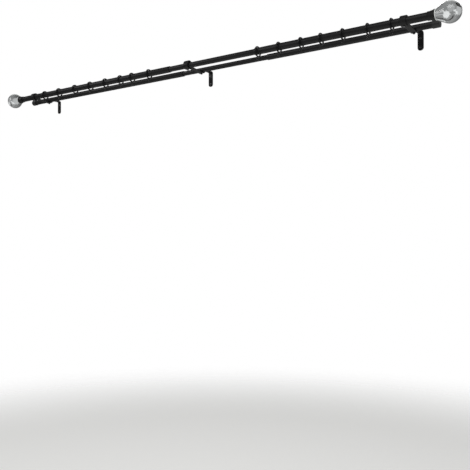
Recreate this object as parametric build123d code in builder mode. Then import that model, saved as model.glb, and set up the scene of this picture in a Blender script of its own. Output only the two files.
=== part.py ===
"""Double telescopic curtain rod with glass ball finials, wall brackets and curtain rings.

Frame, in millimetres: +X along the rods, +Y into the wall, +Z up. The origin is on the wall,
midway between the two screw holes of the centre bracket.
"""
from math import acos, atan2, cos, degrees, hypot, radians, sin, tan
import os

from build123d import *

# Telescopic tubes: a thin tube in the middle runs in a thicker one on each side
front_outer_d = 27.0
front_inner_d = 23.0
rear_outer_d = 24.0
rear_inner_d = 20.0
outer_tube_wall = 1.5
inner_tube_wall = 1.0
mouth_chamfer = 0.4
front_wall_distance = 160.0
rear_wall_distance = 68.0
left_mouth_x = -100.0
right_mouth_x = 345.0
tube_overlap = 260.0

# Brackets: one steel strip each, with a loop for the front rod and a saddle for the rear rod
left_bracket_x = -1035.0
centre_bracket_x = 0.0
right_bracket_x = 950.0
strip_width = 22.0
strip_thickness = 4.0
loop_play = 0.8
seat_gap = 0.3
arm_drop_angle = 25.0
saddle_exit_angle = 60.0
arm_rise = 2.5
bend_radius = 6.0
leg_length = 62.0
screw_hole_d = 4.5
countersink_d = 8.0
lower_hole_margin = 12.0
hole_spacing = 32.0

# Lock screws under the loop and under the saddle
lock_screw_d = 5.0
lock_head_d = 9.0
lock_head_height = 3.5
lock_head_chamfer = 0.6
lock_slot_width = 1.2
lock_slot_depth = 1.2
lock_hole_play = 0.15
lock_tip_gap = 0.2

# Plastic glides in the ends of the thin tubes
glide_fit = 0.05
glide_flange = 4.0
glide_spigot = 14.0
glide_hole_d = 6.0

# Finials on the front rod: a flared collar and a solid glass bulb
left_overhang = 121.0
right_overhang = 108.0
collar_length = 27.0
collar_wall = 1.6
collar_rim_d = 38.0
collar_rim_width = 3.0
socket_depth = 15.0
socket_fit = 0.05
cup_depth = 6.0
cup_wall = 3.5
glass_fit = 0.2
glass_neck_d = 36.0
ball_d = 74.0
ball_reach = 46.5

# End caps on the rear rod
left_rear_overhang = 130.0
right_rear_overhang = 92.0
cap_length = 26.0
cap_wall = 1.8
cap_end = 3.0
cap_fillet = 1.2

# Curtain rings, each with an eyelet under it; places are measured from the end brackets
ring_inner_d = 31.0
ring_wire_d = 6.0
eyelet_hole_d = 8.0
eyelet_wire_d = 3.0
eyelet_weld = 1.5
left_ring_places = [85.0, 195.0, 315.0, 425.0, 530.0, 630.0, 705.0, 810.0]
right_ring_places = [44.0, 131.0, 227.0, 315.0, 399.0, 496.0, 593.0]

# Sizes that follow from the ones above
front_outer_r = front_outer_d / 2
front_inner_r = front_inner_d / 2
rear_outer_r = rear_outer_d / 2
rear_inner_r = rear_inner_d / 2
front_y = -front_wall_distance
rear_y = -rear_wall_distance
loop_r = front_outer_r + loop_play
saddle_r = rear_outer_r + loop_play
foot_corner_r = 0.45 * strip_width
lower_hole_drop = leg_length - lower_hole_margin
upper_hole_drop = lower_hole_drop - hole_spacing
centre_loop_z = (lower_hole_drop + upper_hole_drop) / 2
rod_z = centre_loop_z - loop_r + seat_gap + front_inner_r
ring_z = rod_z + front_outer_r + seat_gap - ring_inner_d / 2
left_face_x = left_bracket_x - left_overhang
right_face_x = right_bracket_x + right_overhang
left_tube_end_x = left_face_x + collar_length - socket_depth
right_tube_end_x = right_face_x - collar_length + socket_depth
left_cap_x = left_bracket_x - left_rear_overhang
right_cap_x = right_bracket_x + right_rear_overhang

os.makedirs("parts", exist_ok=True)


def save(piece, name):
    """Label a finished piece and write its STEP file."""
    piece.label = name
    export_step(piece, f"parts/{name}.step")


def polar(centre, radius, angle):
    """Point at an angle in degrees on a circle, in the plane of a profile."""
    return centre[0] + radius * cos(radians(angle)), centre[1] + radius * sin(radians(angle))


def tangent_angle(point, centre, radius, side):
    """Angle on a circle at which a straight line from a point touches it."""
    toward_point = atan2(point[1] - centre[1], point[0] - centre[0])
    spread = acos(radius / hypot(point[0] - centre[0], point[1] - centre[1]))
    return degrees(toward_point + side * spread)


def end_plane(x, y, outward):
    """Plane through a rod's axis, with its own x axis pointing out of the rod's end."""
    return Plane(origin=(x, y, rod_z), x_dir=(outward, 0, 0), z_dir=(0, -outward, 0))


def loop_height(carried_r):
    """Height of the loop's centre when a tube of this radius lies in it."""
    return rod_z - carried_r - seat_gap + loop_r


def saddle_height(carried_r):
    """Height of the saddle's centre when a tube of this radius lies in it."""
    return rod_z - carried_r - seat_gap + saddle_r


# Wall bracket: loop, sloping arm, saddle, level run to the wall and a leg with two screw holes
def make_bracket(x, front_carried_r, rear_carried_r):
    loop = (front_y, loop_height(front_carried_r))
    saddle = (rear_y, saddle_height(rear_carried_r))
    saddle_mid_r = saddle_r + strip_thickness / 2
    arm_root = polar(loop, loop_r + strip_thickness / 2, -arm_drop_angle)
    touch_angle = tangent_angle(arm_root, saddle, saddle_mid_r, 1) % 360
    exit_angle = 270 + saddle_exit_angle
    saddle_exit = polar(saddle, saddle_mid_r, exit_angle)
    level_z = loop[1] + arm_rise
    rise_run = (level_z - saddle_exit[1]) / tan(radians(saddle_exit_angle))
    rise_corner = (saddle_exit[0] + rise_run, level_z)
    leg_y = -strip_thickness / 2
    leg_end_z = loop[1] - leg_length
    with BuildPart() as bracket:
        with BuildSketch(Plane.YZ.offset(x - strip_width / 2)):
            with BuildLine() as strip:
                Line(arm_root, polar(saddle, saddle_mid_r, touch_angle))
                CenterArc(saddle, saddle_mid_r, touch_angle, exit_angle - touch_angle)
                FilletPolyline(
                    saddle_exit, rise_corner, (leg_y, level_z), (leg_y, leg_end_z), radius=bend_radius
                )
            trace(strip.line, line_width=strip_thickness)
            with Locations(loop):
                Circle(loop_r + strip_thickness)
                Circle(loop_r, mode=Mode.SUBTRACT)
        extrude(amount=strip_width)
        foot_corners = bracket.edges().filter_by(Axis.Y).group_by(Axis.Z)[0]
        fillet(foot_corners, radius=foot_corner_r)
        for drop in (upper_hole_drop, lower_hole_drop):
            with Locations(Plane(origin=(x, -strip_thickness, loop[1] - drop), z_dir=(0, -1, 0))):
                CounterSinkHole(screw_hole_d / 2, countersink_d / 2, depth=strip_thickness)
        for y, wall_z in ((loop[0], loop[1] - loop_r), (saddle[0], saddle[1] - saddle_r)):
            with Locations((x, y, wall_z - strip_thickness / 2)):
                Cylinder(lock_screw_d / 2 + lock_hole_play, 2 * strip_thickness, mode=Mode.SUBTRACT)
    return bracket.part


# Lock screw: slotted cheese head under the strip, shank up to just below the tube
def make_lock_screw(x, y, carried_r):
    tip_z = rod_z - carried_r - lock_tip_gap
    seat_z = rod_z - carried_r - seat_gap - strip_thickness
    with BuildPart() as screw:
        with BuildSketch(Plane(origin=(x, y, seat_z))):
            Circle(lock_head_d / 2)
        extrude(amount=-lock_head_height)
        chamfer(screw.edges().group_by(Axis.Z)[0], length=lock_head_chamfer)
        with BuildSketch(Plane(origin=(x, y, seat_z - lock_head_height))):
            Rectangle(2 * lock_head_d, lock_slot_width)
        extrude(amount=lock_slot_depth, mode=Mode.SUBTRACT)
        with BuildSketch(Plane(origin=(x, y, seat_z))):
            Circle(lock_screw_d / 2)
        extrude(amount=tip_z - seat_z)
    return screw.part


carried_radii = {
    "left": (left_bracket_x, front_outer_r, rear_outer_r),
    "centre": (centre_bracket_x, front_inner_r, rear_inner_r),
    "right": (right_bracket_x, front_outer_r, rear_outer_r),
}
for place, (bracket_x, front_carried_r, rear_carried_r) in carried_radii.items():
    save(make_bracket(bracket_x, front_carried_r, rear_carried_r), f"bracket_{place}")
    save(make_lock_screw(bracket_x, front_y, front_carried_r), f"front_lock_screw_{place}")
    save(make_lock_screw(bracket_x, rear_y, rear_carried_r), f"rear_lock_screw_{place}")


# Tube: drawn steel, open at both ends, with its rims broken
def make_tube(start_x, end_x, y, outer_r, wall):
    with BuildPart() as tube:
        with BuildSketch(Plane.YZ.offset(start_x)):
            with Locations((y, rod_z)):
                Circle(outer_r)
                Circle(outer_r - wall, mode=Mode.SUBTRACT)
        extrude(amount=end_x - start_x)
        rims = tube.edges().filter_by(GeomType.CIRCLE).sort_by(SortBy.RADIUS)[-2:]
        chamfer(rims, length=mouth_chamfer)
    return tube.part


# Glide: plastic plug in the end of a thin tube, its flange running in the bore of the thick one
def make_glide(end_x, y, thin_r, thick_r, outward):
    spigot_r = thin_r - inner_tube_wall - glide_fit
    flange_r = thick_r - outer_tube_wall - glide_fit
    with BuildPart() as glide:
        with BuildSketch(end_plane(end_x, y, outward)):
            with BuildLine():
                Polyline(
                    (-glide_spigot, glide_hole_d / 2),
                    (-glide_spigot, spigot_r),
                    (0, spigot_r),
                    (0, flange_r),
                    (glide_flange, flange_r),
                    (glide_flange, glide_hole_d / 2),
                    close=True,
                )
            make_face()
        revolve(axis=Axis((end_x, y, rod_z), (outward, 0, 0)))
    return glide.part


thin_start_x = left_mouth_x - tube_overlap
thin_end_x = right_mouth_x + tube_overlap
rods = {
    "front": (front_y, front_inner_r, front_outer_r, left_tube_end_x, right_tube_end_x),
    "rear": (rear_y, rear_inner_r, rear_outer_r, left_cap_x + cap_end, right_cap_x - cap_end),
}
for rod, (y, thin_r, thick_r, left_end_x, right_end_x) in rods.items():
    save(make_tube(thin_start_x, thin_end_x, y, thin_r, inner_tube_wall), f"{rod}_inner_tube")
    save(make_tube(left_end_x, left_mouth_x, y, thick_r, outer_tube_wall), f"{rod}_outer_tube_left")
    save(make_tube(right_mouth_x, right_end_x, y, thick_r, outer_tube_wall), f"{rod}_outer_tube_right")
    save(make_glide(thin_start_x, y, thin_r, thick_r, -1), f"{rod}_glide_left")
    save(make_glide(thin_end_x, y, thin_r, thick_r, 1), f"{rod}_glide_right")


# Finial collar: turned, flared like a trumpet, with a socket for the tube and a cup for the glass
def make_collar(face_x, outward):
    socket_r = front_outer_r + socket_fit
    neck_r = socket_r + collar_wall
    rim_r = collar_rim_d / 2
    cup_r = rim_r - cup_wall
    flare_length = collar_length - collar_rim_width
    with BuildPart() as collar:
        with BuildSketch(end_plane(face_x, front_y, outward)):
            with BuildLine():
                flare = TangentArc(
                    (-collar_length, neck_r), (-collar_rim_width, rim_r), tangent=(flare_length, 0)
                )
                Polyline(
                    flare @ 1,
                    (0, rim_r),
                    (0, cup_r),
                    (-cup_depth, cup_r),
                    (-cup_depth, 0),
                    (socket_depth - collar_length, 0),
                    (socket_depth - collar_length, socket_r),
                    (-collar_length, socket_r),
                    flare @ 0,
                )
            make_face()
        revolve(axis=Axis((face_x, front_y, rod_z), (outward, 0, 0)))
    return collar.part


# Finial glass: solid bulb, its cone drawn tangent to the ball and its foot seated in the cup
def make_finial_ball(face_x, outward):
    ball_r = ball_d / 2
    centre = (ball_reach, 0)
    neck = (0, glass_neck_d / 2)
    foot_r = collar_rim_d / 2 - cup_wall - glass_fit
    touch_angle = tangent_angle(neck, centre, ball_r, -1)
    with BuildPart() as ball:
        with BuildSketch(end_plane(face_x, front_y, outward)):
            with BuildLine():
                bowl = CenterArc(centre, ball_r, touch_angle, -touch_angle)
                Polyline(bowl @ 1, (-cup_depth, 0), (-cup_depth, foot_r), (0, foot_r), neck, bowl @ 0)
            make_face()
        revolve(axis=Axis((face_x, front_y, rod_z), (outward, 0, 0)))
    return ball.part


for side, face_x, outward in (("left", left_face_x, -1), ("right", right_face_x, 1)):
    save(make_collar(face_x, outward), f"finial_collar_{side}")
    save(make_finial_ball(face_x, outward), f"finial_ball_{side}")


# Rear cap: pressed cup over the end of the thick rear tube
def make_cap(end_x, outward):
    socket_r = rear_outer_r + socket_fit
    with BuildPart() as cap:
        with BuildSketch(end_plane(end_x, rear_y, outward)):
            with BuildLine():
                Polyline(
                    (0, 0),
                    (0, socket_r + cap_wall),
                    (-cap_length, socket_r + cap_wall),
                    (-cap_length, socket_r),
                    (-cap_end, socket_r),
                    (-cap_end, 0),
                    close=True,
                )
            make_face()
        revolve(axis=Axis((end_x, rear_y, rod_z), (outward, 0, 0)))
        outer_rim = cap.edges().filter_by(GeomType.CIRCLE).sort_by(Axis.X)[-1 if outward > 0 else 0]
        fillet(outer_rim, radius=cap_fillet)
    return cap.part


save(make_cap(left_cap_x, -1), "rear_cap_left")
save(make_cap(right_cap_x, 1), "rear_cap_right")


# Curtain ring: round wire closed to a ring, with a small eyelet welded under it
def make_ring(x):
    wire_r = ring_wire_d / 2
    ring_mid_r = ring_inner_d / 2 + wire_r
    eyelet_mid_r = (eyelet_hole_d + eyelet_wire_d) / 2
    eyelet_r = eyelet_hole_d / 2 + eyelet_wire_d
    eyelet_z = ring_z - ring_mid_r - wire_r + eyelet_weld - eyelet_r
    with BuildPart() as ring:
        with Locations(Location((x, front_y, ring_z), (0, 90, 0))):
            Torus(ring_mid_r, wire_r)
        with Locations(Location((x, front_y, eyelet_z), (90, 0, 0))):
            Torus(eyelet_mid_r, eyelet_wire_d / 2)
    return ring.part


ring_xs = [left_bracket_x + place for place in left_ring_places]
ring_xs += [right_bracket_x - place for place in reversed(right_ring_places)]
for number, x in enumerate(ring_xs, start=1):
    save(make_ring(x), f"curtain_ring_{number:02d}")
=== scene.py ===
"""Looks of a double telescopic curtain rod: coated tubes and brackets, rings and glass finials."""
from math import acos, atan2, cos, hypot, pi, radians, sin, sqrt, tan

import bpy
from mathutils import Matrix, Vector


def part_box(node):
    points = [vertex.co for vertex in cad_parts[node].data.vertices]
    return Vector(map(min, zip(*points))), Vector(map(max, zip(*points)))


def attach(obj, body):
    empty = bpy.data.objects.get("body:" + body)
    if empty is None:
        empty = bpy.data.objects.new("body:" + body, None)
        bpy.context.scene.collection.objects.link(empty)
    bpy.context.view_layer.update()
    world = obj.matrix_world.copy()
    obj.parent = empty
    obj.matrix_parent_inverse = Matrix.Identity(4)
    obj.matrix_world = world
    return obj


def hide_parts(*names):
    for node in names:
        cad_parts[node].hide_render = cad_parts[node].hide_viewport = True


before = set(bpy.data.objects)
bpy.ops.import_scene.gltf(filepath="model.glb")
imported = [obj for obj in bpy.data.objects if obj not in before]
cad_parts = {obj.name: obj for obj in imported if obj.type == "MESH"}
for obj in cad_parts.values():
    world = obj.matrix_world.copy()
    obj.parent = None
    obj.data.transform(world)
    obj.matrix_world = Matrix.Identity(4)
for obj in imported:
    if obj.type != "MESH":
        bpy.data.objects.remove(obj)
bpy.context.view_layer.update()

# Wall brackets. Each is one 22 x 4 mm steel strip, bent cold: an upright leg, a level run, a saddle
# under the rear rod and a sloping arm, with a loop of the same strip welded on for the front rod.
# They are powder coated after welding, which softens the edges and the weld beads.
strip_thickness = 0.004
strip_edge = 0.0007
bend_radius = 0.006
bend_step = radians(6)
seat_gap = 0.0003
tube_play = 0.0008
arm_drop_angle = radians(25)
saddle_exit_angle = radians(60)
arm_rise = 0.0025
foot_rounding = 0.0099
weld_radius = 0.0016
weld_ripple = 0.0015
weld_ripple_depth = 0.06
weld_steps = 64
lock_hole_radius = 0.00265
hole_radius = 0.00225
countersink_radius = 0.004
lower_hole_margin = 0.012
hole_spacing = 0.032
sink_lip = 0.002


def linear(hex_colour):
    """Linear RGBA of an sRGB hex colour."""
    channels = [int(hex_colour[i:i + 2], 16) / 255 for i in (1, 3, 5)]
    return [c / 12.92 if c <= 0.04045 else ((c + 0.055) / 1.055) ** 2.4 for c in channels] + [1.0]


def add(tree, kind, settings=None, **inputs):
    """Add a node. An input is named, or numbered as in _6, and is a value or a socket to link."""
    node = tree.nodes.new(kind)
    for name, value in (settings or {}).items():
        setattr(node, name, value)
    for name, value in inputs.items():
        socket = node.inputs[int(name[1:]) if name[0] == "_" else name.replace("_", " ")]
        if isinstance(value, bpy.types.NodeSocket):
            tree.links.new(value, socket)
        else:
            socket.default_value = value
    return node


def new_material(name):
    """An empty node material and its Principled shader."""
    material = bpy.data.materials.new(name)
    material.use_nodes = True
    return material, material.node_tree, material.node_tree.nodes["Principled BSDF"]


def satin_powder_coat(name, colour, sheen_colour, roughness):
    """Powder coat: a fine orange peel of about 0.9 mm and a slow drift of gloss over some 40 mm."""
    material, tree, shader = new_material(name)
    place = add(tree, "ShaderNodeTexCoord").outputs["Object"]
    drift = add(tree, "ShaderNodeTexNoise", Vector=place, Scale=1 / 0.04, Detail=3.0)
    peel = add(tree, "ShaderNodeTexNoise", Vector=place, Scale=1 / 0.0009, Detail=2.0)
    tint = add(tree, "ShaderNodeMix", {"data_type": "RGBA"}, Factor=drift.outputs["Fac"],
               _6=linear(colour), _7=linear(sheen_colour))
    gloss = add(tree, "ShaderNodeMapRange", Value=drift.outputs["Fac"], From_Min=0.3, From_Max=0.7,
                To_Min=roughness - 0.05, To_Max=roughness + 0.05)
    bump = add(tree, "ShaderNodeBump", Strength=0.12, Distance=0.0002, Height=peel.outputs["Fac"])
    tree.links.new(tint.outputs[2], shader.inputs["Base Color"])
    tree.links.new(gloss.outputs["Result"], shader.inputs["Roughness"])
    tree.links.new(bump.outputs["Normal"], shader.inputs["Normal"])
    shader.inputs["Specular IOR Level"].default_value = 0.25
    return material


def select_only(*objects):
    """Deselect everything, then select these; the last one is active."""
    bpy.ops.object.select_all(action="DESELECT")
    for piece in objects:
        piece.select_set(True)
        bpy.context.view_layer.objects.active = piece


def modify(piece, kind, **settings):
    """Add a modifier and apply it."""
    select_only(piece)
    modifier = piece.modifiers.new(kind.lower(), kind)
    for name, value in settings.items():
        setattr(modifier, name, value)
    bpy.ops.object.modifier_apply(modifier=modifier.name)


def break_edges(piece, width, segments):
    """Bevel every edge that turns by more than 50 degrees."""
    modify(piece, "BEVEL", width=width, segments=segments, limit_method="ANGLE",
           angle_limit=radians(50))


def combine(piece, tool, operation):
    """Join or cut a piece with a tool mesh, which is used up."""
    modify(piece, "BOOLEAN", object=tool, operation=operation, solver="EXACT")
    bpy.data.objects.remove(tool)


def finish_piece(piece, name, material, body, slot, *nodes, smooth_angle=35):
    """Name, shade and colour a piece and hang it on its body, in place of its CAD nodes if any."""
    piece.name = name
    piece.data.materials.clear()
    piece.data.materials.append(material)
    select_only(piece)
    bpy.ops.object.shade_smooth_by_angle(angle=radians(smooth_angle))
    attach(piece, body)
    if nodes:
        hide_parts(*nodes)


def copy_of(piece, offset):
    """A copy with its own mesh, moved in its mesh."""
    twin = piece.copy()
    twin.data = piece.data.copy()
    twin.data.transform(Matrix.Translation(offset))
    bpy.context.scene.collection.objects.link(twin)
    return twin


def turned(profile, centre, axis, steps=96):
    """A body of revolution: a vertex is extruded along the profile of (along, radius) and spun."""
    along = Vector(axis)
    out = Vector((0, 0, 1)) if abs(along.z) < 0.5 else Vector((1, 0, 0))
    points = [Vector(centre) + along * a + out * r for a, r in profile]
    bpy.ops.object.select_all(action="DESELECT")
    bpy.ops.mesh.primitive_plane_add(size=0.001, location=(0, 0, 0))
    bpy.ops.object.mode_set(mode="EDIT")
    bpy.ops.mesh.select_mode(type="VERT")
    bpy.ops.mesh.merge(type="CENTER")
    bpy.ops.transform.translate(value=points[0])
    for before, after in zip(points, points[1:]):
        bpy.ops.mesh.extrude_region_move(TRANSFORM_OT_translate={"value": after - before})
    bpy.ops.mesh.select_all(action="SELECT")
    bpy.ops.mesh.spin(steps=steps, angle=2 * pi, center=centre, axis=axis)
    bpy.ops.mesh.select_all(action="SELECT")
    bpy.ops.mesh.remove_doubles(threshold=1e-6)
    bpy.ops.mesh.normals_make_consistent(inside=False)
    bpy.ops.object.mode_set(mode="OBJECT")
    return bpy.context.object


def middle(node):
    """Centre of a CAD node's box."""
    low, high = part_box(node)
    return (low + high) / 2


def radius_of(node):
    """Radius of a CAD node that is round about the rod."""
    low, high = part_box(node)
    return (high.z - low.z) / 2


black_coat = satin_powder_coat("satin_black_powder_coat", "#0f0f10", "#161617", 0.48)

strip_low, strip_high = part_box("bracket_centre")
strip_width = strip_high.x - strip_low.x
strip_x = (strip_low.x + strip_high.x) / 2
front_y = middle("front_inner_tube").y
rear_y = middle("rear_inner_tube").y
rod_z = middle("front_inner_tube").z
loop_outer = front_y - strip_low.y
loop = Vector((front_y, strip_high.z - loop_outer))
saddle_inner = radius_of("rear_outer_tube_left") + tube_play
saddle = Vector((rear_y, rod_z - radius_of("rear_inner_tube") - seat_gap + saddle_inner))
saddle_mid = saddle_inner + strip_thickness / 2
arm_drop = Vector((cos(arm_drop_angle), -sin(arm_drop_angle)))
arm_root = loop + (loop_outer - strip_thickness / 2) * arm_drop
to_root = arm_root - saddle
touch_angle = (atan2(to_root.y, to_root.x) + acos(saddle_mid / to_root.length)) % (2 * pi)
touch = saddle + saddle_mid * Vector((cos(touch_angle), sin(touch_angle)))
exit_angle = 1.5 * pi + saddle_exit_angle
saddle_exit = saddle + saddle_mid * Vector((cos(exit_angle), sin(exit_angle)))
level_z = loop.y + arm_rise
rise_corner = Vector((saddle_exit.x + (level_z - saddle_exit.y) / tan(saddle_exit_angle), level_z))
rise_tangent = bend_radius * tan(saddle_exit_angle / 2)
bend_y = -strip_thickness / 2 - bend_radius
bend_z = level_z - bend_radius
foot_z = strip_low.z

bpy.ops.object.select_all(action="DESELECT")
bpy.ops.mesh.primitive_plane_add(size=1, location=(0, 0, 0))
bracket = bpy.context.object
bpy.ops.object.mode_set(mode="EDIT")
bpy.ops.transform.resize(value=(strip_width, strip_thickness, 1))
bpy.ops.transform.translate(value=(strip_x, -strip_thickness / 2, foot_z))


def run(y, z):
    """Draw the strip on in a straight line."""
    bpy.ops.mesh.extrude_region_move(TRANSFORM_OT_translate={"value": (0, y, z)})


def bend(y, z, angle):
    """Draw the strip on round a bend about (y, z)."""
    steps = max(4, round(abs(angle) / bend_step))
    bpy.ops.mesh.spin(steps=steps, angle=-angle, center=(strip_x, y, z), axis=(1, 0, 0))


run(0, bend_z - foot_z)
bend(bend_y, bend_z, pi / 2)
run(rise_corner.x + rise_tangent - bend_y, 0)
bend(rise_corner.x + rise_tangent, bend_z, saddle_exit_angle)
slope_length = (rise_corner - saddle_exit).length - rise_tangent
run(-slope_length * cos(saddle_exit_angle), -slope_length * sin(saddle_exit_angle))
bend(saddle.x, saddle.y, touch_angle - exit_angle)
run(*(arm_root - touch))
bpy.ops.mesh.select_all(action="SELECT")
bpy.ops.mesh.normals_make_consistent(inside=False)
bpy.ops.mesh.select_mode(type="EDGE")
bpy.ops.mesh.select_all(action="DESELECT")
bpy.ops.object.mode_set(mode="OBJECT")
for edge in bracket.data.edges:
    ends = [bracket.data.vertices[v].co for v in edge.vertices]
    edge.select = all(abs(p.z - foot_z) < 1e-6 for p in ends) and abs(ends[0].x - ends[1].x) < 1e-6
bpy.ops.object.mode_set(mode="EDIT")
bpy.ops.mesh.bevel(offset=foot_rounding, offset_type="OFFSET", segments=14, affect="EDGES")
bpy.ops.object.mode_set(mode="OBJECT")
break_edges(bracket, strip_edge, 3)

bpy.ops.object.select_all(action="DESELECT")
bpy.ops.mesh.primitive_cylinder_add(
    vertices=96, radius=loop_outer, depth=strip_width, end_fill_type="NOTHING",
    location=(strip_x, loop.x, loop.y), rotation=(0, pi / 2, 0),
)
loop_band = bpy.context.object
bpy.ops.object.transform_apply(location=True, rotation=True, scale=True)
modify(loop_band, "SOLIDIFY", thickness=strip_thickness, offset=-1)
break_edges(loop_band, strip_edge, 3)
combine(bracket, loop_band, "UNION")

bead_half = strip_width / 2 - strip_edge
bead_places = [bead_half * (2 * i / weld_steps - 1) for i in range(weld_steps + 1)]
bead_ripples = [1 + weld_ripple_depth * cos(2 * pi * a / weld_ripple) for a in bead_places]
bead_profile = [
    (a, weld_radius * sqrt(1 - (a / bead_half) ** 8) * ripple)
    for a, ripple in zip(bead_places, bead_ripples)
]
arm_way = (touch - arm_root).normalized()
arm_side = Vector((-arm_way.y, arm_way.x)) * strip_thickness / 2
for face in (arm_side, -arm_side):
    from_loop = arm_root + face - loop
    along = from_loop.dot(arm_way)
    reach = sqrt(along ** 2 - from_loop.length_squared + loop_outer ** 2) - along
    corner = arm_root + face + arm_way * reach
    bead = turned(bead_profile, (strip_x, corner.x, corner.y), (1, 0, 0), steps=24)
    combine(bracket, bead, "UNION")

hole_zs = (foot_z + lower_hole_margin, foot_z + lower_hole_margin + hole_spacing)
sink_depth = countersink_radius - hole_radius
through = 2 * strip_thickness
for hole_z in hole_zs:
    cutter = turned(
        [(sink_lip, 0), (sink_lip, countersink_radius + sink_lip), (-sink_depth, hole_radius),
         (-through, hole_radius), (-through, 0)],
        (strip_x, -strip_thickness, hole_z), (0, -1, 0), steps=48,
    )
    combine(bracket, cutter, "DIFFERENCE")
loop_floor_z = loop.y - loop_outer + strip_thickness / 2
saddle_floor_z = saddle.y - saddle_mid
for y, floor_z in ((front_y, loop_floor_z), (rear_y, saddle_floor_z)):
    cutter = turned(
        [(-strip_thickness, 0), (-strip_thickness, lock_hole_radius),
         (strip_thickness, lock_hole_radius), (strip_thickness, 0)],
        (strip_x, y, floor_z), (0, 0, 1), steps=48,
    )
    combine(bracket, cutter, "DIFFERENCE")

bracket_places = ("left", "centre", "right")
bracket_shift = {place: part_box(f"bracket_{place}")[0] - strip_low for place in bracket_places}
for place in bracket_places:
    twin = copy_of(bracket, bracket_shift[place])
    node = f"bracket_{place}"
    finish_piece(twin, f"strip_{node}", black_coat, "bracket_frame", "black_coat", node)
bpy.data.objects.remove(bracket)

# Wall screws. Countersunk steel screws with a cross recess, blacked with oxide and sunk flush in
# the legs. Only the head and the shank inside the strip are made.
screw_head_radius = 0.0038
screw_shank_radius = 0.0020
screw_edge = 0.0003
screw_band = 0.0002
screw_end_gap = 0.0001
recess_width = 0.0011
recess_length = 0.0046
recess_depth = 0.0016


def black_oxide_steel():
    """Thinly blacked steel: dark, half bright metal with scuffs of about 1.5 mm in its gloss."""
    material, tree, shader = new_material("black_oxide_steel")
    place = add(tree, "ShaderNodeTexCoord").outputs["Object"]
    scuff = add(tree, "ShaderNodeTexNoise", Vector=place, Scale=1 / 0.0015, Detail=5.0)
    gloss = add(tree, "ShaderNodeMapRange", Value=scuff.outputs["Fac"], To_Min=0.28, To_Max=0.5)
    tree.links.new(gloss.outputs["Result"], shader.inputs["Roughness"])
    shader.inputs["Base Color"].default_value = linear("#6a6a6c")
    shader.inputs["Metallic"].default_value = 1.0
    return material


black_oxide = black_oxide_steel()
cone_end = -screw_band - (screw_head_radius - screw_shank_radius)
shank_end = -strip_thickness + screw_end_gap
wall_screw = turned(
    [(0, 0), (0, screw_head_radius - screw_edge), (-screw_band, screw_head_radius),
     (cone_end, screw_shank_radius), (shank_end, screw_shank_radius), (shank_end, 0)],
    (strip_x, -strip_thickness, hole_zs[0]), (0, -1, 0), steps=64,
)
for wide, tall in ((recess_length, recess_width), (recess_width, recess_length)):
    bpy.ops.object.select_all(action="DESELECT")
    bpy.ops.mesh.primitive_cube_add(size=1, location=(strip_x, -strip_thickness, hole_zs[0]))
    slot_tool = bpy.context.object
    slot_tool.scale = (wide, 2 * recess_depth, tall)
    bpy.ops.object.transform_apply(location=True, rotation=True, scale=True)
    combine(wall_screw, slot_tool, "DIFFERENCE")
for place in bracket_places:
    for level, hole_z in zip(("lower", "upper"), hole_zs):
        twin = copy_of(wall_screw, bracket_shift[place] + Vector((0, 0, hole_z - hole_zs[0])))
        name = f"wall_screw_{place}_{level}"
        finish_piece(twin, name, black_oxide, "bracket_frame", "black_screw")
bpy.data.objects.remove(wall_screw)

# Lock screws. Slotted cheese heads under each loop and each saddle, of the same blacked steel.
# Their flat tips press on the tubes from below and hold the set length.
lock_shank_radius = 0.0025
lock_head_height = 0.0035
lock_edge = 0.0005
lock_slot = (0.02, 0.0012, 0.0024)
for rod in ("front", "rear"):
    for place in bracket_places:
        node = f"{rod}_lock_screw_{place}"
        low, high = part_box(node)
        centre = (low + high) / 2
        head_radius = (high.x - low.x) / 2
        tip = high.z - low.z
        lock_screw = turned(
            [(0, 0), (0, head_radius - lock_edge), (lock_edge, head_radius),
             (lock_head_height, head_radius), (lock_head_height, lock_shank_radius),
             (tip, lock_shank_radius), (tip, 0)],
            (centre.x, centre.y, low.z), (0, 0, 1), steps=64,
        )
        bpy.ops.object.select_all(action="DESELECT")
        bpy.ops.mesh.primitive_cube_add(size=1, location=(centre.x, centre.y, low.z))
        slot_tool = bpy.context.object
        slot_tool.scale = lock_slot
        bpy.ops.object.transform_apply(location=True, rotation=True, scale=True)
        combine(lock_screw, slot_tool, "DIFFERENCE")
        name = f"slotted_{node}"
        finish_piece(lock_screw, name, black_oxide, "bracket_frame", "black_screw", node)

# Tubes. Drawn steel: a thin one with a 1 mm wall in the middle of each rod, a thicker one with a
# 1.5 mm wall over each end of it. The rims are broken, and the coat runs over them into the bore.
# Sliding has rubbed faint lengthwise scuffs into the coat.
tube_walls = {"inner": 0.001, "outer": 0.0015}
rim_break = 0.0004
tube_bodies = {
    "front_inner_tube": "bracket_frame",
    "rear_inner_tube": "bracket_frame",
    "front_outer_tube_left": "front_left",
    "front_outer_tube_right": "front_right",
    "rear_outer_tube_left": "rear_left",
    "rear_outer_tube_right": "rear_right",
}


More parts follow.
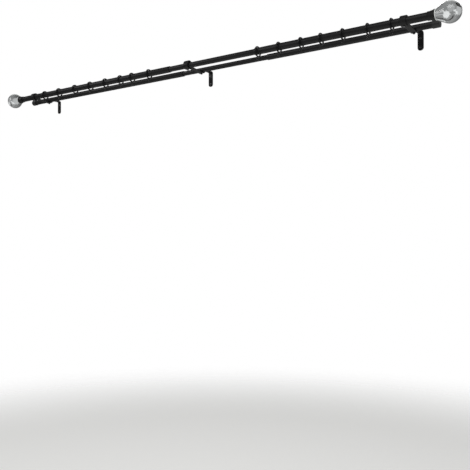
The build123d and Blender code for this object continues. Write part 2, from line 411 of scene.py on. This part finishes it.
def rub_lengthwise(material):
    """Scuffs along the rod: streaks about 80 mm long and 1.5 mm apart, a bit duller and paler."""
    tree = material.node_tree
    shader = tree.nodes["Principled BSDF"]
    place = add(tree, "ShaderNodeTexCoord").outputs["Object"]
    drawn = add(tree, "ShaderNodeMapping", Vector=place, Scale=(1 / 0.08, 1 / 0.0015, 1 / 0.0015))
    streak = add(tree, "ShaderNodeTexNoise", Vector=drawn.outputs["Vector"], Scale=1.0, Detail=3.0)
    scuff = add(tree, "ShaderNodeMapRange", Value=streak.outputs["Fac"],
                From_Min=0.55, From_Max=0.75)
    for name, worn, kind in (
        ("Base Color", linear("#1e1e20"), "RGBA"),
        ("Roughness", 0.6, "FLOAT"),
    ):
        coat = shader.inputs[name].links[0].from_socket
        first, second, result = (6, 7, 2) if kind == "RGBA" else (2, 3, 0)
        rubbed = add(tree, "ShaderNodeMix", {"data_type": kind}, Factor=scuff.outputs["Result"],
                     **{f"_{first}": coat, f"_{second}": worn})
        tree.links.new(rubbed.outputs[result], shader.inputs[name])


rubbed_coat = satin_powder_coat("satin_black_powder_coat_rubbed", "#0f0f10", "#161617", 0.48)
rub_lengthwise(rubbed_coat)
for node, body in tube_bodies.items():
    low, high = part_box(node)
    bpy.ops.object.select_all(action="DESELECT")
    bpy.ops.mesh.primitive_cylinder_add(
        vertices=128, radius=radius_of(node), depth=high.x - low.x, end_fill_type="NOTHING",
        location=(low + high) / 2, rotation=(0, pi / 2, 0),
    )
    tube = bpy.context.object
    bpy.ops.object.transform_apply(location=True, rotation=True, scale=True)
    modify(tube, "SOLIDIFY", thickness=tube_walls[node.split("_")[1]], offset=-1)
    break_edges(tube, rim_break, 2)
    finish_piece(tube, f"steel_{node}", rubbed_coat, body, "black_coat", node)

# Glides. Natural nylon plugs pressed into the ends of the thin tubes, hidden in the thick ones.
# The CAD solids are right as they are and only take a finish.


def natural_nylon():
    """Moulded nylon: milky, with a cloudy tone over about 6 mm and a dull skin."""
    material, tree, shader = new_material("natural_nylon")
    place = add(tree, "ShaderNodeTexCoord").outputs["Object"]
    cloud = add(tree, "ShaderNodeTexNoise", Vector=place, Scale=1 / 0.006, Detail=2.0)
    tint = add(tree, "ShaderNodeMix", {"data_type": "RGBA"}, Factor=cloud.outputs["Fac"],
               _6=linear("#d9d6cb"), _7=linear("#e6e3d9"))
    tree.links.new(tint.outputs[2], shader.inputs["Base Color"])
    shader.inputs["Roughness"].default_value = 0.5
    shader.inputs["Subsurface Weight"].default_value = 0.1
    return material


nylon = natural_nylon()
for rod in ("front", "rear"):
    for side in ("left", "right"):
        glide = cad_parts[f"{rod}_glide_{side}"]
        glide.data.materials.clear()
        glide.data.materials.append(nylon)

# Curtain rings. Round steel wire, bent and butt welded, with a small eyelet welded on below.
# They are lacquered black, a little glossier than the rods.
ring_wire_radius = 0.003
eyelet_hole_radius = 0.004
eyelet_wire_radius = 0.0015
eyelet_weld = 0.0015
ring_lacquer = satin_powder_coat("satin_black_ring_lacquer", "#0d0d0e", "#131314", 0.36)
ring_low, ring_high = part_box("curtain_ring_01")
ring_outer = (ring_high.y - ring_low.y) / 2
ring_x = (ring_low.x + ring_high.x) / 2
ring_z = ring_high.z - ring_outer
eyelet_outer = eyelet_hole_radius + 2 * eyelet_wire_radius
eyelet_z = ring_z - ring_outer + eyelet_weld - eyelet_outer

bpy.ops.object.select_all(action="DESELECT")
bpy.ops.mesh.primitive_torus_add(
    major_segments=96, minor_segments=24, major_radius=ring_outer - ring_wire_radius,
    minor_radius=ring_wire_radius, location=(ring_x, front_y, ring_z), rotation=(0, pi / 2, 0),
)
ring = bpy.context.object
bpy.ops.object.transform_apply(location=True, rotation=True, scale=True)
bpy.ops.mesh.primitive_torus_add(
    major_segments=48, minor_segments=16, major_radius=eyelet_outer - eyelet_wire_radius,
    minor_radius=eyelet_wire_radius, location=(ring_x, front_y, eyelet_z), rotation=(pi / 2, 0, 0),
)
eyelet = bpy.context.object
bpy.ops.object.transform_apply(location=True, rotation=True, scale=True)
combine(ring, eyelet, "UNION")
for number in range(1, 16):
    body = f"ring_{number:02d}"
    node = f"curtain_{body}"
    twin = copy_of(ring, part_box(node)[0] - ring_low)
    finish_piece(twin, f"wire_{body}", ring_lacquer, body, "black_ring", node)
bpy.data.objects.remove(ring)

# Rear caps. Moulded black plastic cups pushed over the ends of the rear rod.
# The rim is rounded and the skin is fine grained.
cap_round = 0.0012
cap_wall = 0.0018
cap_end = 0.003


def moulded_black_plastic():
    """Moulded plastic: even black with a fine spark-eroded grain of about 0.7 mm."""
    material, tree, shader = new_material("moulded_black_plastic")
    place = add(tree, "ShaderNodeTexCoord").outputs["Object"]
    grain = add(tree, "ShaderNodeTexVoronoi", Vector=place, Scale=1 / 0.0007)
    tone = add(tree, "ShaderNodeTexNoise", Vector=place, Scale=1 / 0.012, Detail=2.0)
    tint = add(tree, "ShaderNodeMix", {"data_type": "RGBA"}, Factor=tone.outputs["Fac"],
               _6=linear("#161616"), _7=linear("#1c1c1c"))
    bump = add(tree, "ShaderNodeBump", Strength=0.15, Distance=0.0002,
               Height=grain.outputs["Distance"])
    tree.links.new(tint.outputs[2], shader.inputs["Base Color"])
    tree.links.new(bump.outputs["Normal"], shader.inputs["Normal"])
    shader.inputs["Roughness"].default_value = 0.55
    return material


black_plastic = moulded_black_plastic()


def arc(centre, radius, start, end, count):
    """Points on an arc in a profile, as (along, radius) pairs."""
    angles = [start + (end - start) * i / count for i in range(count + 1)]
    return [(centre[0] + radius * cos(a), centre[1] + radius * sin(a)) for a in angles]


for side, outward in (("left", -1), ("right", 1)):
    node = f"rear_cap_{side}"
    low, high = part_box(node)
    end_x = high.x if outward > 0 else low.x
    outer = radius_of(node)
    length = high.x - low.x
    rounding = arc((-cap_round, outer - cap_round), cap_round, 0, pi / 2, 8)
    cap = turned(
        [(0, 0)] + rounding + [(-length, outer), (-length, outer - cap_wall),
                               (-cap_end, outer - cap_wall), (-cap_end, 0)],
        (end_x, rear_y, rod_z), (outward, 0, 0),
    )
    finish_piece(cap, f"moulded_{node}", black_plastic, f"rear_{side}", "black_plastic", node)

# Finial collars. Turned steel trumpets, coated like the rods, with a socket for the tube and a cup
# for the glass. The rim is a narrow flat band with its edges broken.
collar_wall = 0.0016
collar_rim_width = 0.003
socket_depth = 0.015
socket_fit = 0.00005
cup_depth = 0.006
cup_wall = 0.0035
collar_edge = 0.0004
for side, outward in (("left", -1), ("right", 1)):
    node = f"finial_collar_{side}"
    low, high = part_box(node)
    face_x = high.x if outward > 0 else low.x
    length = high.x - low.x
    rim = radius_of(node)
    socket = radius_of(f"front_outer_tube_{side}") + socket_fit
    neck = socket + collar_wall
    flare_length = length - collar_rim_width
    flare_rise = rim - neck
    flare_radius = (flare_length ** 2 + flare_rise ** 2) / (2 * flare_rise)
    flare_turn = 2 * atan2(flare_rise, flare_length)
    flare = arc((-length, neck + flare_radius), flare_radius, -pi / 2, -pi / 2 + flare_turn, 24)
    collar = turned(
        flare + [(-collar_edge, rim), (0, rim - collar_edge), (0, rim - cup_wall),
                 (-cup_depth, rim - cup_wall), (-cup_depth, 0), (socket_depth - length, 0),
                 (socket_depth - length, socket), (-length, socket),
                 (-length, neck - collar_edge), flare[0]],
        (face_x, front_y, rod_z), (outward, 0, 0), steps=128,
    )
    finish_piece(collar, f"turned_{node}", black_coat, f"front_{side}", "black_coat", node)

# Finial glass. Solid clear glass, pressed and fire polished, which leaves it slightly wavy: a ball
# drawn out to a cone. Its foot is set in the collar's cup with black cement, which shows through
# the glass, and a thin bead of milky silicone seals the groove between cone and rim.
glass_neck = 0.018
glass_fit = 0.0002
cement_bite = 0.00005
seal_height = 0.001
seal_gap = 0.00005


def pressed_clear_glass():
    """Solid soda glass: clear with a trace of grey, and a slow wave in its skin of about 22 mm."""
    material, tree, shader = new_material("pressed_clear_glass")
    place = add(tree, "ShaderNodeTexCoord").outputs["Object"]
    wave = add(tree, "ShaderNodeTexNoise", Vector=place, Scale=1 / 0.022, Detail=1.0)
    bump = add(tree, "ShaderNodeBump", Strength=0.1, Distance=0.001, Height=wave.outputs["Fac"])
    tree.links.new(bump.outputs["Normal"], shader.inputs["Normal"])
    shader.inputs["Base Color"].default_value = linear("#eef1f1")
    shader.inputs["Roughness"].default_value = 0.0
    shader.inputs["IOR"].default_value = 1.5
    shader.inputs["Transmission Weight"].default_value = 1.0
    return material


def black_cement():
    """Filled epoxy: dead black and dull, with a slight unevenness over about 2 mm."""
    material, tree, shader = new_material("black_epoxy_cement")
    place = add(tree, "ShaderNodeTexCoord").outputs["Object"]
    lump = add(tree, "ShaderNodeTexNoise", Vector=place, Scale=1 / 0.002, Detail=2.0)
    tint = add(tree, "ShaderNodeMix", {"data_type": "RGBA"}, Factor=lump.outputs["Fac"],
               _6=linear("#0a0a0a"), _7=linear("#141414"))
    tree.links.new(tint.outputs[2], shader.inputs["Base Color"])
    shader.inputs["Roughness"].default_value = 0.8
    return material


def milky_silicone():
    """Cured silicone: translucent white and half glossy, with a faint cloud over about 3 mm."""
    material, tree, shader = new_material("milky_silicone")
    place = add(tree, "ShaderNodeTexCoord").outputs["Object"]
    cloud = add(tree, "ShaderNodeTexNoise", Vector=place, Scale=1 / 0.003, Detail=2.0)
    tint = add(tree, "ShaderNodeMix", {"data_type": "RGBA"}, Factor=cloud.outputs["Fac"],
               _6=linear("#d6d8d6"), _7=linear("#e6e8e6"))
    tree.links.new(tint.outputs[2], shader.inputs["Base Color"])
    shader.inputs["Roughness"].default_value = 0.35
    return material


clear_glass = pressed_clear_glass()
epoxy = black_cement()
silicone = milky_silicone()
for side, outward in (("left", -1), ("right", 1)):
    node = f"finial_ball_{side}"
    collar_low, collar_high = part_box(f"finial_collar_{side}")
    face_x = collar_high.x if outward > 0 else collar_low.x
    ball_radius = radius_of(node)
    ball_low, ball_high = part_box(node)
    ball_reach = (ball_high.x - face_x if outward > 0 else face_x - ball_low.x) - ball_radius
    foot = radius_of(f"finial_collar_{side}") - cup_wall - glass_fit
    neck_distance = hypot(ball_reach, glass_neck)
    cone_turn = pi - atan2(glass_neck, ball_reach) - acos(ball_radius / neck_distance)
    bowl = arc((ball_reach, 0), ball_radius, cone_turn, 0, 64)
    glass = turned(
        [(-cup_depth, 0), (-cup_depth, foot), (0, foot), (0, glass_neck)] + bowl[:-1]
        + [(ball_reach + ball_radius, 0)],
        (face_x, front_y, rod_z), (outward, 0, 0), steps=160,
    )
    body = f"front_{side}"
    finish_piece(glass, f"glass_{node}", clear_glass, body, "clear_glass", node, smooth_angle=40)
    bed, lip, cup = foot - cement_bite, glass_neck - cement_bite, foot + glass_fit - cement_bite
    floor_top, floor_low = cement_bite - cup_depth, cement_bite / 2 - cup_depth
    cement = turned(
        [(floor_top, 0), (floor_top, bed), (cement_bite, bed), (cement_bite, lip),
         (-cement_bite / 2, lip), (-cement_bite / 2, cup), (floor_low, cup), (floor_low, 0)],
        (face_x, front_y, rod_z), (outward, 0, 0),
    )
    finish_piece(cement, f"cement_{node}", epoxy, body, None)
    seal_length = seal_height * bowl[0][0] / (bowl[0][1] - glass_neck)
    seal_root, seal_top = glass_neck + 2 * seal_gap, glass_neck + seal_height
    seal = turned(
        [(seal_gap, seal_root), (seal_gap, seal_top), (seal_length / 2, seal_top + seal_height / 4),
         (seal_length, seal_top + 2 * seal_gap), (seal_gap, seal_root)],
        (face_x, front_y, rod_z), (outward, 0, 0), steps=128,
    )
    finish_piece(seal, f"seal_{node}", silicone, body, None)

# Stage: a plain pale floor well below the rod, fading at its edge into the white the camera sees.
# Lamps and an even surround light the object. What its glass and gloss show instead is a grey room,
# paler straight behind the rod, with some bright places and one dark band.
floor_z = -2.25
floor_radius = 5.0
fade_radius = 2.6
bpy.ops.object.select_all(action="DESELECT")
bpy.ops.mesh.primitive_circle_add(
    vertices=96, radius=floor_radius, fill_type="NGON", location=(0, 0, floor_z)
)
floor = bpy.context.object
floor.name = "floor"
bpy.ops.object.transform_apply(location=True, rotation=True, scale=True)
floor_paint, tree, shader = new_material("pale_floor")
place = add(tree, "ShaderNodeTexCoord").outputs["Object"]
level_place = add(tree, "ShaderNodeVectorMath", {"operation": "MULTIPLY"}, _0=place, _1=(1, 1, 0))
apart = add(tree, "ShaderNodeVectorMath", {"operation": "LENGTH"}, _0=level_place.outputs["Vector"])
fade = add(tree, "ShaderNodeMapRange", {"interpolation_type": "SMOOTHSTEP"},
           Value=apart.outputs["Value"], From_Min=fade_radius, From_Max=floor_radius)
clear = add(tree, "ShaderNodeBsdfTransparent")
blend = add(tree, "ShaderNodeMixShader", Fac=fade.outputs["Result"], _1=shader.outputs["BSDF"],
            _2=clear.outputs["BSDF"])
tree.links.new(blend.outputs["Shader"], tree.nodes["Material Output"].inputs["Surface"])
shader.inputs["Base Color"].default_value = linear("#f2f2f0")
shader.inputs["Roughness"].default_value = 0.7
floor.data.materials.append(floor_paint)

even_level = 0.62
room_dark, room_pale = 0.12, 0.29
pale_turn, pale_rise = radians(0), radians(21)
pale_from, pale_to = 0.3, 0.75
band_place, band_half, band_level = 0.869, 0.026, 0.12
band_low, band_high = 0.48, 0.6
unevenness = 0.015
soft_edge = 0.3
bright_places = (  # turn to the left, rise, half width and level
    (radians(0), radians(25), radians(13), 0.9),
    (radians(35), radians(21), radians(9), 0.9),
    (radians(-13), radians(15), radians(8), 0.6),
    (radians(20), radians(6), radians(14), 0.45),
    (radians(58), radians(12), radians(21), 0.55),
    (radians(-42), radians(57), radians(9), 0.85),
)
world = bpy.data.worlds.new("studio")
bpy.context.scene.world = world
world.use_nodes = True
tree = world.node_tree
surround = tree.nodes["Background"]
direction = add(tree, "ShaderNodeTexCoord").outputs["Generated"]
wander = add(tree, "ShaderNodeTexNoise", Vector=direction, Scale=6.0, Detail=1.0)
shift = add(tree, "ShaderNodeMapRange", Value=wander.outputs["Fac"], From_Min=0.3, From_Max=0.7,
            To_Min=-unevenness, To_Max=unevenness)


def toward(turn, rise):
    """How nearly a ray points to a place in the room, by the cosine, with a little unevenness."""
    way = (-sin(turn) * cos(rise), cos(turn) * cos(rise), sin(rise))
    near = add(tree, "ShaderNodeVectorMath", {"operation": "DOT_PRODUCT"}, _0=direction, _1=way)
    uneven = add(tree, "ShaderNodeMath", _0=near.outputs["Value"], _1=shift.outputs["Result"])
    return uneven.outputs["Value"]


to_pale = toward(pale_turn, pale_rise)
room = add(tree, "ShaderNodeMapRange", Value=to_pale, From_Min=pale_from, From_Max=pale_to,
           To_Min=room_dark, To_Max=room_pale).outputs["Result"]
band = add(tree, "ShaderNodeMath", {"operation": "COMPARE"}, _0=to_pale, _1=band_place,
           _2=band_half)
height = add(tree, "ShaderNodeSeparateXYZ", Vector=direction).outputs["Z"]
above = add(tree, "ShaderNodeMapRange", Value=height, From_Min=band_low, From_Max=band_high)
shade = add(tree, "ShaderNodeMath", {"operation": "MULTIPLY"}, _0=band.outputs["Value"],
            _1=above.outputs["Result"])
dimmed = add(tree, "ShaderNodeMapRange", Value=shade.outputs["Value"], To_Min=1.0,
             To_Max=band_level)
for turn, rise, half, level in bright_places:
    patch = add(tree, "ShaderNodeMapRange", {"interpolation_type": "SMOOTHSTEP"},
                Value=toward(turn, rise), From_Min=cos((1 + soft_edge) * half),
                From_Max=cos((1 - soft_edge) * half), To_Max=level)
    room = add(tree, "ShaderNodeMath", {"operation": "MAXIMUM"}, _0=room,
               _1=patch.outputs["Result"]).outputs["Value"]
room = add(tree, "ShaderNodeMath", {"operation": "MULTIPLY"}, _0=room,
           _1=dimmed.outputs["Result"]).outputs["Value"]
ray = add(tree, "ShaderNodeLightPath")
bent = add(tree, "ShaderNodeMath", {"operation": "MAXIMUM"}, _0=ray.outputs["Is Glossy Ray"],
           _1=ray.outputs["Is Transmission Ray"])
lit = add(tree, "ShaderNodeMix", {"data_type": "RGBA"}, Factor=bent.outputs["Value"],
          _6=(even_level, even_level, even_level, 1), _7=room)
shown = add(tree, "ShaderNodeMix", {"data_type": "RGBA"}, Factor=ray.outputs["Is Camera Ray"],
            _6=lit.outputs[2], _7=(1, 1, 1, 1))
tree.links.new(shown.outputs[2], surround.inputs["Color"])

rod_middle = Vector((0, front_y, rod_z))
for name, spot, size, power in (
    ("key_softbox", (1.6, -2.6, 1.9), (3.2, 1.8), 55.0),
    ("fill_softbox", (-2.2, -2.0, 1.2), (1.6, 1.2), 22.0),
    ("rim_softbox", (0.4, 1.8, 1.4), (2.4, 0.8), 18.0),
):
    lamp = bpy.data.lights.new(name, "AREA")
    lamp.shape = "RECTANGLE"
    lamp.size, lamp.size_y = size
    lamp.energy = power
    holder = bpy.data.objects.new(name, lamp)
    bpy.context.scene.collection.objects.link(holder)
    holder.location = spot
    holder.visible_transmission = False
    holder.rotation_mode = "QUATERNION"
    holder.rotation_quaternion = (rod_middle - Vector(spot)).to_track_quat("-Z", "Y")

# Camera: level, below the rod and to the right of it, as the photograph was taken.
image_width = 470
focal_pixels = 640.0
horizon_row = 237.95
camera_spot = Vector((1.7505, front_y - 2.0766, rod_z - 0.7301))
camera_turn = radians(35.908)
eye = bpy.data.cameras.new("photo_camera")
eye.sensor_width = 36.0
eye.lens = eye.sensor_width * focal_pixels / image_width
eye.clip_end = 50.0
camera = bpy.data.objects.new("photo_camera", eye)
bpy.context.scene.collection.objects.link(camera)
camera.location = camera_spot
tilt = atan2(horizon_row - image_width / 2, focal_pixels)
camera.rotation_euler = (pi / 2 + tilt, 0, camera_turn)
bpy.context.scene.camera = camera
bpy.context.scene.view_settings.view_transform = "Standard"
